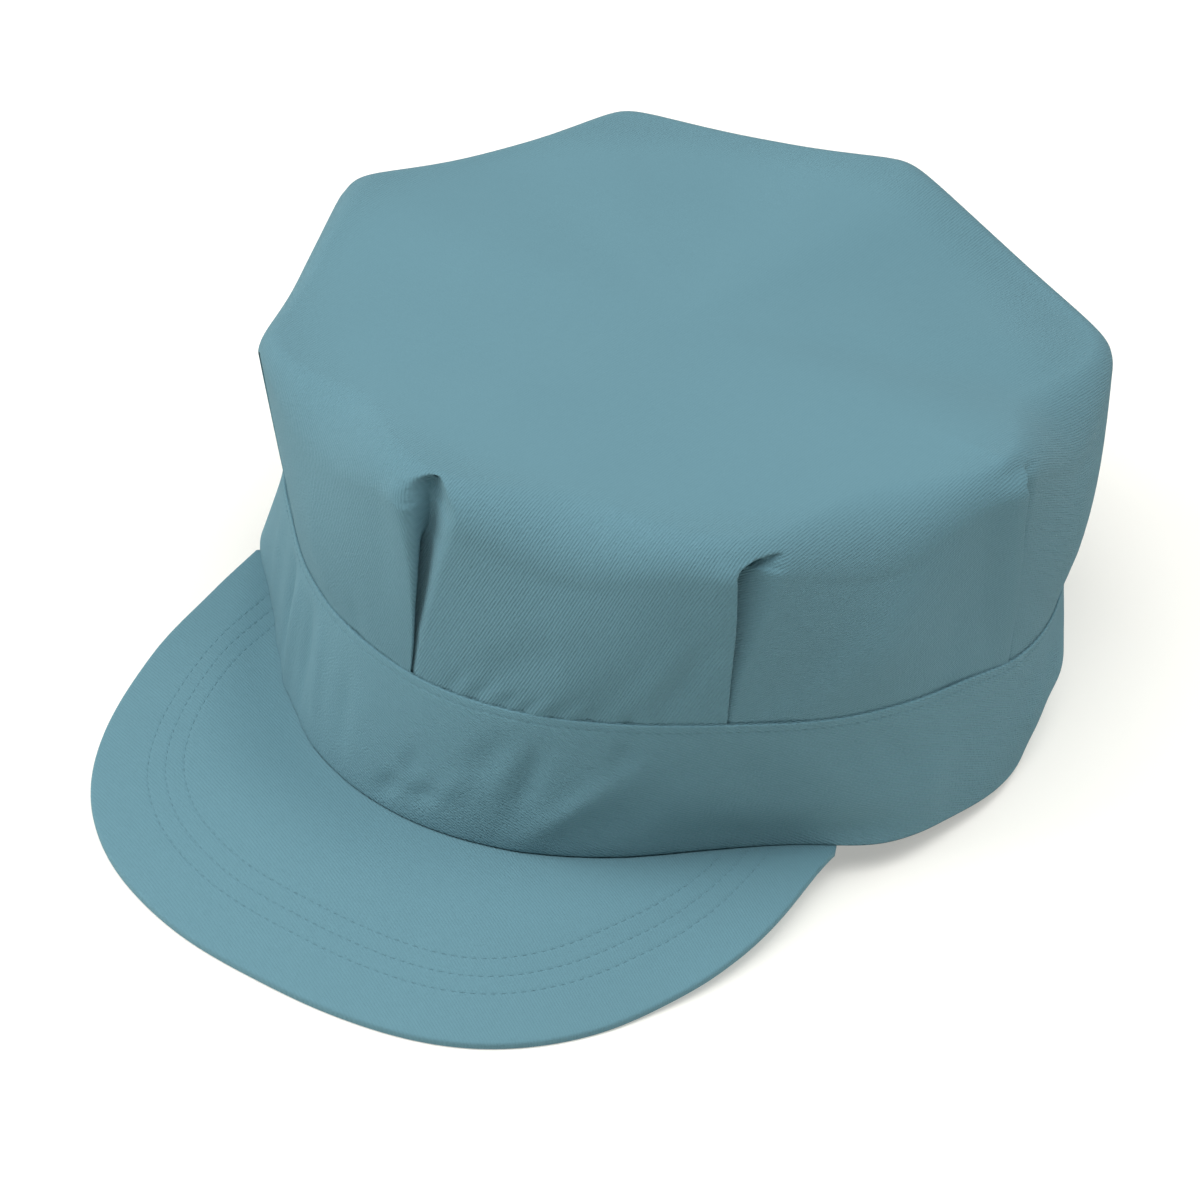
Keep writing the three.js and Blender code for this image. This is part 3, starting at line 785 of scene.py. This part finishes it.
# Peak: along runs from -1 to 1 round its free edge, and across from 0 at the band to 1 at that edge
peakForm = {
    "halfWidth": 82.8, "reach": 106.2, "slide": 1, "rootY": -42, "squareness": 2.7, "angle": 65,
    "thickness": 1.8, "tuck": 1.8, "flatTurn": 40, "seatGap": -0.15, "edgeRound": 0.5,
    "cornerPull": 0.035, "cornerFrom": 65, "camber": 1.6, "camberFrom": (.04, .5),
    "columns": 220, "crowding": 0.35, "edgeSteps": 1601, "acrossSteps": 161, "rootRows": 14,
    "outline": tableOf("angle out", [
        (-150, 4), (-120, 5), (-90, 4.6), (-83, 3.5), (-76, 2.2), (-62, 1.8), (-49, 1.9), (-40, 1.6),
        (-30, .8), (-20, .4), (-8, .7), (6, -.1), (14, -.8), (28, -1.2), (44, -1.7), (52, -1.6),
        (60, -.7), (67, -.3), (76, .2), (90, 0), (120, 0)]),
    # distances from the free edge: the stitch rows, their grooves and the plain lines of the mesh
    "stitchRows": (12.0, 16.0, 20.1), "drift": -1.1, "driftFrom": (1, 8),
    "groove": 0.08, "grooveWidth": 0.26, "grooveLines": (-1, -.6, -.35, -.17, 0, .17, .35, .6, 1),
    "plainLines": (1.2, 2, 3, 4.5, 6, 7.5, 9, 13, 17.2, 21.5, 23, 25, 27.5, 30, 33, 36.5, 40),
    "linesFrom": 41, "grooveEnd": .2, "stitchEnd": .4,
    # shares of the way across: between two lines at least, before the first line, and at the edge
    "leastShare": 2e-4, "firstShare": 1e-3, "edgeFrom": .999,
}


def peakOutline(turn):
    power = peakForm["squareness"]
    radius = ((np.abs(sinOf(turn)) / peakForm["halfWidth"]) ** power
              + (np.abs(cosOf(turn)) / peakForm["reach"]) ** power) ** (-1 / power)
    radius = radius + curveThrough(turn, peakForm["outline"], "out")
    pull = 1 - peakForm["cornerPull"] * eased(np.abs(turn), peakForm["cornerFrom"], 90)
    return radius * sinOf(turn) * pull + peakForm["slide"], peakForm["rootY"] - radius * cosOf(turn)


def peakPoint(along, across, drop=0):
    angle, turn = peakForm["angle"] * along, 90 * along
    root = rimPoint(angle) - outward(angle) * peakForm["tuck"]
    root[..., 2] = rimHeight(angle) - peakForm["seatGap"]
    x, y = peakOutline(turn)
    seat = rimHeight(peakForm["angle"]) - peakForm["seatGap"]
    lifted = eased(np.abs(turn), peakForm["flatTurn"], 90)
    points = lerped(root, pointAt(x, y, between(peakForm["thickness"], seat, lifted)), across)
    arch = eased(across, *peakForm["camberFrom"]) * (1 - across) * 4 * cosOf(turn)
    points[..., 2] += peakForm["camber"] * arch - drop
    return points


# Distance from the free edge and depth under the top, over the top and back below
def peakSection():
    radius = peakForm["edgeRound"]
    lines = {row + step for row in peakForm["stitchRows"] for step in peakForm["grooveLines"]}
    lines |= {radius, *peakForm["plainLines"]}
    top = [(line, 0.0) for line in sorted(lines, reverse=True)]
    for turn in np.radians((68, 45, 22, 0)):
        top.append((radius * (1 - math.cos(turn)), radius * (1 - math.sin(turn))))
    bottom = [(away, peakForm["thickness"] - drop) for away, drop in reversed(top)]
    return top, bottom


def peakGroove(away, deepest):
    if away >= deepest - peakForm["grooveEnd"]:
        return 0
    return sum(peakForm["groove"] * math.exp(-((away - row) / peakForm["grooveWidth"]) ** 2)
               for row in peakForm["stitchRows"])


# Shares of the way across the peak at distances from its free edge
def sharesAt(aways, gap):
    return np.interp(-np.asarray(aways, float), -gap, np.linspace(0, 1, len(gap)))


# One line across the peak, out over the top and back below, and the stitches that it meets
def peakColumn(along, edgeX, edgeY, top, bottom):
    across = np.linspace(0, 1, peakForm["acrossSteps"])
    line = peakPoint(np.full(across.shape, along), across)
    gap = np.min(np.hypot(line[:, 0:1] - edgeX, line[:, 1:2] - edgeY), axis=1)
    gap = np.minimum.accumulate(gap)
    gap[-1] = 0
    least, drift = peakForm["leastShare"], peakForm["drift"] * math.sin(math.radians(90 * along))
    start = max(float(sharesAt(peakForm["linesFrom"], gap)), peakForm["firstShare"])
    inward = np.linspace(0, 1, peakForm["rootRows"] + 1)[:-1]
    spots = [(start * share, 0) for share in inward]
    last = spots[-1][0]
    for away, drop in top:
        share = float(sharesAt(away + drift * eased(away, *peakForm["driftFrom"]), gap))
        last = max(share, last + least) if share < peakForm["edgeFrom"] else share
        spots.append((min(last, 1), drop + peakGroove(away, gap[0])))
    last = 1
    for away, drop in bottom:
        share = float(sharesAt(away + drift * eased(away, *peakForm["driftFrom"]), gap))
        last = max(min(share, last), least)
        spots.append((last, drop - peakGroove(away, gap[0])))
        last -= least
    spots += [(min(start, last) * share, peakForm["thickness"]) for share in inward[::-1]]
    shares, drops = np.array(spots, float).T
    sink = peakForm["groove"] * stitchLook["sink"]
    stitches = {row: peakPoint(np.full(2, along), np.full(2, sharesAt(row + drift, gap)),
                               np.array([sink, peakForm["thickness"] - sink]))
                for row in peakForm["stitchRows"] if row < gap[0] - peakForm["stitchEnd"]}
    return peakPoint(np.full(len(spots), along), shares, drops), stitches


def makePeak():
    columns, crowding = peakForm["columns"], peakForm["crowding"]
    alongs = sinOf(np.linspace(-90, 90, columns)) * crowding + np.linspace(-1, 1, columns) * (1 - crowding)
    edgeX, edgeY = peakOutline(np.linspace(-90, 90, peakForm["edgeSteps"]))
    top, bottom = peakSection()
    made = [peakColumn(along, edgeX, edgeY, top, bottom) for along in alongs]
    points = np.stack([line for line, stitches in made], 1)
    rows = len(points)
    faces = gridQuads(rows, columns, closeRows=True).tolist()
    faces.append([row * columns for row in range(rows)])
    faces.append([row * columns + columns - 1 for row in range(rows - 1, -1, -1)])
    flat = points[..., :2]
    closed = np.concatenate([flat, flat[:1]])
    cloth = np.concatenate([quadPlaces(closed[:, :-1], closed[:, 1:]), flat[:, 0], flat[::-1, -1]])
    piece = makePiece("peakBoard", points.reshape(-1, 3), faces, peakTwill, cloth)
    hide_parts("peak")
    runs = []
    for row in peakForm["stitchRows"]:
        pairs = np.array([stitches[row] for line, stitches in made if row in stitches])
        for side, upward in ((0, 1.0), (1, -1.0)):
            runs.append((pairs[:, side], np.tile([0, 0, upward], (len(pairs), 1))))
    makeStitches("peakStitches", runs, thread)


makeCrown()
print("crown made")
makeBand()
print("band made")
makePeak()
print("peak made")


# Floor, light and camera
studio = {
    # name, power, size, azimuth, elevation
    "lamps": [("keyLight", 36, 1.7, -50, 30), ("topLight", 43, 1.7, 0, 75), ("backLight", 28, 1.7, 128, 60)],
    "lampDistance": 2.2, "worldStrength": 0.0,
    "floorHalf": 8, "floorDark": (0.60, 0.595, 0.56, 1), "floorLight": (0.62, 0.615, 0.58, 1),
    "floorGrain": 2.0, "floorRoughness": 0.9, "floorShine": 0.1,
    "floorGlow": (1, 0.99, 0.94, 1), "floorGlowStrength": 0.38,
}
photoView = {
    "azimuth": 33.2, "elevation": 39.4, "roll": 4.4, "distance": 1400, "aside": -13.6, "above": -25,
    "aim": (0, 0, 45), "sensor": 36, "focalShare": 6130 / 1200, "clip": (0.05, 50),
}


def floorFinish():
    finish = Finish("paleFloor")
    place = finish.node("ShaderNodeTexCoord", None, None, "Object")
    grain = finish.node("ShaderNodeTexNoise", None, {"Vector": place, "Scale": studio["floorGrain"]}, "Fac")
    colour = finish.mixed(grain, studio["floorDark"], studio["floorLight"])
    return finish.closed(finish.node("ShaderNodeBsdfPrincipled", None, {
        "Base Color": colour, "Roughness": studio["floorRoughness"],
        "Specular IOR Level": studio["floorShine"], "Emission Color": studio["floorGlow"],
        "Emission Strength": studio["floorGlowStrength"]}))


def makeFloor():
    half = studio["floorHalf"]
    mesh = bpy.data.meshes.new("floor")
    corners = [(-half, -half, 0), (half, -half, 0), (half, half, 0), (-half, half, 0)]
    mesh.from_pydata(corners, [], [(0, 1, 2, 3)])
    mesh.materials.append(floorFinish())
    floor = bpy.data.objects.new("floor", mesh)
    bpy.context.scene.collection.objects.link(floor)


def directionTo(azimuth, elevation):      # azimuth 0 is straight in front of the peak
    turn, rise = math.radians(azimuth), math.radians(elevation)
    return np.array([math.sin(turn) * math.cos(rise), -math.cos(turn) * math.cos(rise), math.sin(rise)])


def makeLamp(name, power, size, azimuth, elevation):
    lamp = bpy.data.lights.new(name, "AREA")
    lamp.energy = power
    lamp.size = size
    holder = bpy.data.objects.new(name, lamp)
    bpy.context.scene.collection.objects.link(holder)
    away = Vector(directionTo(azimuth, elevation))
    holder.location = away * studio["lampDistance"]
    holder.rotation_euler = away.to_track_quat("Z", "Y").to_euler()


def makeCamera(view):
    turn, roll = math.radians(view["azimuth"]), math.radians(view["roll"])
    back = directionTo(view["azimuth"], view["elevation"])
    level = np.array([math.cos(turn), math.sin(turn), 0])
    over = np.cross(back, level)
    right = level * math.cos(roll) + over * math.sin(roll)
    up = over * math.cos(roll) - level * math.sin(roll)
    aim = np.array(view["aim"]) + np.array(headShift)
    place = (aim + back * view["distance"] + right * view["aside"] + up * view["above"]) * 0.001
    data = bpy.data.cameras.new("photoCamera")
    data.sensor_width = view["sensor"]
    data.lens = view["sensor"] * view["focalShare"]
    data.clip_start, data.clip_end = view["clip"]
    camera = bpy.data.objects.new("photoCamera", data)
    bpy.context.scene.collection.objects.link(camera)
    axes = [[right[axis], up[axis], back[axis], place[axis]] for axis in range(3)]
    camera.matrix_world = Matrix(axes + [[0, 0, 0, 1]])
    bpy.context.scene.camera = camera


def makeWorld():
    world = bpy.data.worlds.new("studio")
    world.use_nodes = True
    background = world.node_tree.nodes["Background"]
    background.inputs["Color"].default_value = (1, 1, 1, 1)
    background.inputs["Strength"].default_value = studio["worldStrength"]
    bpy.context.scene.world = world


makeFloor()
for lamp in studio["lamps"]:
    makeLamp(*lamp)
makeWorld()
bpy.context.scene.view_settings.view_transform = "Standard"
makeCamera(photoView)
print("studio made")
